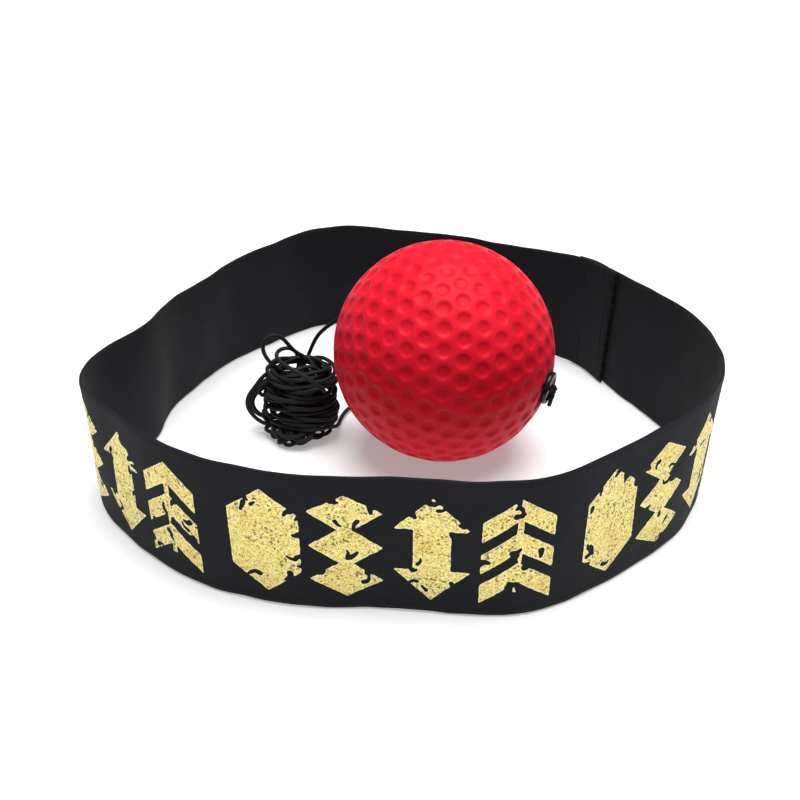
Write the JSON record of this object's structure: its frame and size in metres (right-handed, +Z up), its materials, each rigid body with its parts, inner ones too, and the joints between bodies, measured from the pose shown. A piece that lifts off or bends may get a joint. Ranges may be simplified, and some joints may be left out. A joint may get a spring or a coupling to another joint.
{
  "type": "reflex ball headband",
  "caption": "Elastic webbing ring for the head with a dimpled foam ball tethered to it by a thin elastic cord.",
  "frame": {"origin": "on the surface the ring stands on, under the middle of the ring's outer box", "axes": "+Z up through the ring, front of the ring towards -Y, +X to the right seen from the front"},
  "size_m": [0.1705, 0.1708, 0.0623],
  "materials": {
    "webbing": "matt black woven elastic with fine ribs and a selvedge",
    "thread": "black polyester sewing thread",
    "print_foil": "distressed gold glitter transfer print with black chips",
    "ball_foam": "satin red moulded foam skin with shallow round dimples",
    "cord": "black braided cover over a rubber core",
    "button_plastic": "glossy black moulded plastic"
  },
  "bodies": {
    "headband": {"band_end_knot": "cord", "cord_hank": "cord", "cord_lead_ball": "cord", "cord_lead_band": "cord", "headband_strap": "webbing", "print_argyle_02": "print_foil", "print_argyle_06": "print_foil", "print_argyle_10": "print_foil", "print_argyle_14": "print_foil", "print_argyle_18": "print_foil", "print_argyle_22": "print_foil", "print_arrow_03": "print_foil", "print_arrow_07": "print_foil", "print_arrow_11": "print_foil", "print_arrow_15": "print_foil", "print_arrow_19": "print_foil", "print_chevrons_04": "print_foil", "print_chevrons_08": "print_foil", "print_chevrons_12": "print_foil", "print_chevrons_16": "print_foil", "print_chevrons_20": "print_foil", "print_hexagon_01": "print_foil", "print_hexagon_05": "print_foil", "print_hexagon_09": "print_foil", "print_hexagon_13": "print_foil", "print_hexagon_17": "print_foil", "print_hexagon_21": "print_foil", "seam_left_row_bobbin_thread": "thread", "seam_left_row_needle_thread": "thread", "seam_right_row_bobbin_thread": "thread", "seam_right_row_needle_thread": "thread"},
    "band_stop": {"band_button": "button_plastic"},
    "tether_end": {"cord_in_ball": "cord", "ball_end_knot": "cord"},
    "ball": {"ball_foam": "ball_foam"},
    "ball_stop": {"ball_button": "button_plastic"}
  },
  "joints": [
    {"name": "ball_lift", "type": "slide", "parent": "headband", "child": "tether_end", "axis": [0, 0, 1], "range_m": [0, 0.07]},
    {"name": "ball_spin", "type": "hinge", "parent": "tether_end", "child": "ball", "pos_m": [0.01038, -0.00518, 0.0312], "axis": [0.9006, -0.4036, -0.1612], "continuous": true},
    {"name": "ball_button_spin", "type": "hinge", "parent": "tether_end", "child": "ball_stop", "pos_m": [0.01038, -0.00518, 0.0312], "axis": [0.9006, -0.4036, -0.1612], "continuous": true},
    {"name": "band_button_spin", "type": "hinge", "parent": "headband", "child": "band_stop", "pos_m": [0.0351, 0.06515, 0.019], "axis": [0.4715, 0.8771, 0.0913], "continuous": true}
  ]
}
